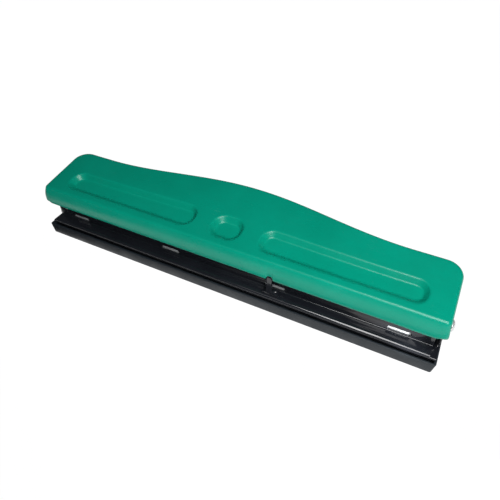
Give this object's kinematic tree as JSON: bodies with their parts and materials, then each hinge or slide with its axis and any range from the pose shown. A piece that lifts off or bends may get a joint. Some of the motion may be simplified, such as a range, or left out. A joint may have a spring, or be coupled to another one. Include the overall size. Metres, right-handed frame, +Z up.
{
  "type": "hole punch",
  "caption": "Long desk hole punch with a pressed green handle, black channel frame, sprung punch pins and a chip tray base.",
  "frame": {"origin": "centre of the footprint box, on the surface the punch stands on", "axes": "+X along the punch, +Y from the paper side towards the free edge of the handle, +Z up"},
  "size_m": [0.2926, 0.0624, 0.0479],
  "materials": {
    "green_paint": "glossy green stove enamel on pressed sheet",
    "black_paint": "glossy black enamel",
    "tray_plastic": "fine-textured dark grey moulding",
    "bright_plate": "bright nickel plate",
    "tool_steel": "ground hardened steel",
    "spring_steel": "drawn spring wire and strip",
    "white_nylon": "natural nylon"
  },
  "bodies": {
    "chip_tray": {"chip_tray": "tray_plastic"},
    "frame": {"die_plate": "black_paint", "channel": "black_paint", "end_cheek_left": "black_paint", "end_cheek_right": "black_paint", "handle_stop": "black_paint", "guide_bracket_1": "bright_plate", "return_spring_1": "spring_steel", "guide_bracket_2": "bright_plate", "return_spring_2": "spring_steel", "guide_bracket_3": "bright_plate", "return_spring_3": "spring_steel", "guide_bracket_4": "bright_plate", "return_spring_4": "spring_steel", "pivot_rivet_left": "bright_plate", "pivot_washer_left": "white_nylon", "pivot_rivet_right": "bright_plate", "pivot_washer_right": "white_nylon", "channel_rivet_1": "bright_plate", "channel_rivet_2": "bright_plate", "channel_rivet_3": "bright_plate", "channel_rivet_4": "bright_plate", "channel_rivet_5": "bright_plate", "cheek_rivet_1": "bright_plate", "cheek_rivet_2": "bright_plate", "bracket_rivet_1": "bright_plate", "bracket_rivet_2": "bright_plate", "bracket_rivet_3": "bright_plate", "bracket_rivet_4": "bright_plate", "bracket_rivet_5": "bright_plate", "bracket_rivet_6": "bright_plate", "bracket_rivet_7": "bright_plate", "bracket_rivet_8": "bright_plate", "stop_rivet": "black_paint"},
    "handle": {"handle": "green_paint"},
    "punch_1": {"punch_pin_1": "tool_steel", "retaining_clip_1": "spring_steel"},
    "punch_2": {"punch_pin_2": "tool_steel", "retaining_clip_2": "spring_steel"},
    "punch_3": {"punch_pin_3": "tool_steel", "retaining_clip_3": "spring_steel"},
    "punch_4": {"punch_pin_4": "tool_steel", "retaining_clip_4": "spring_steel"}
  },
  "joints": [
    {"name": "tray_opening", "type": "hinge", "parent": "chip_tray", "child": "frame", "pos_m": [0, 0.01515, 0.0085], "axis": [-1, 0, 0], "range_deg": [0, 50]},
    {"name": "handle_press", "type": "hinge", "parent": "frame", "child": "handle", "pos_m": [0, -0.01965, 0.032], "axis": [-1, 0, 0], "range_deg": [0, 25], "stiffness_Nm_per_rad": 0.35, "springref_deg": -20.05},
    {"name": "punch_stroke_1", "type": "slide", "parent": "frame", "child": "punch_1", "axis": [0, 0, -1], "range_m": [0, 0.0052], "deforming": ["return_spring_1"]},
    {"name": "punch_stroke_2", "type": "slide", "parent": "frame", "child": "punch_2", "axis": [0, 0, -1], "range_m": [0, 0.0052], "deforming": ["return_spring_2"]},
    {"name": "punch_stroke_3", "type": "slide", "parent": "frame", "child": "punch_3", "axis": [0, 0, -1], "range_m": [0, 0.0052], "deforming": ["return_spring_3"]},
    {"name": "punch_stroke_4", "type": "slide", "parent": "frame", "child": "punch_4", "axis": [0, 0, -1], "range_m": [0, 0.0052], "deforming": ["return_spring_4"]}
  ],
  "couplings": [
    {"joint": "punch_stroke_1", "follows": "handle_press", "m_per_rad": 0.0115},
    {"joint": "punch_stroke_2", "follows": "handle_press", "m_per_rad": 0.0115},
    {"joint": "punch_stroke_3", "follows": "handle_press", "m_per_rad": 0.0115},
    {"joint": "punch_stroke_4", "follows": "handle_press", "m_per_rad": 0.0115}
  ]
}
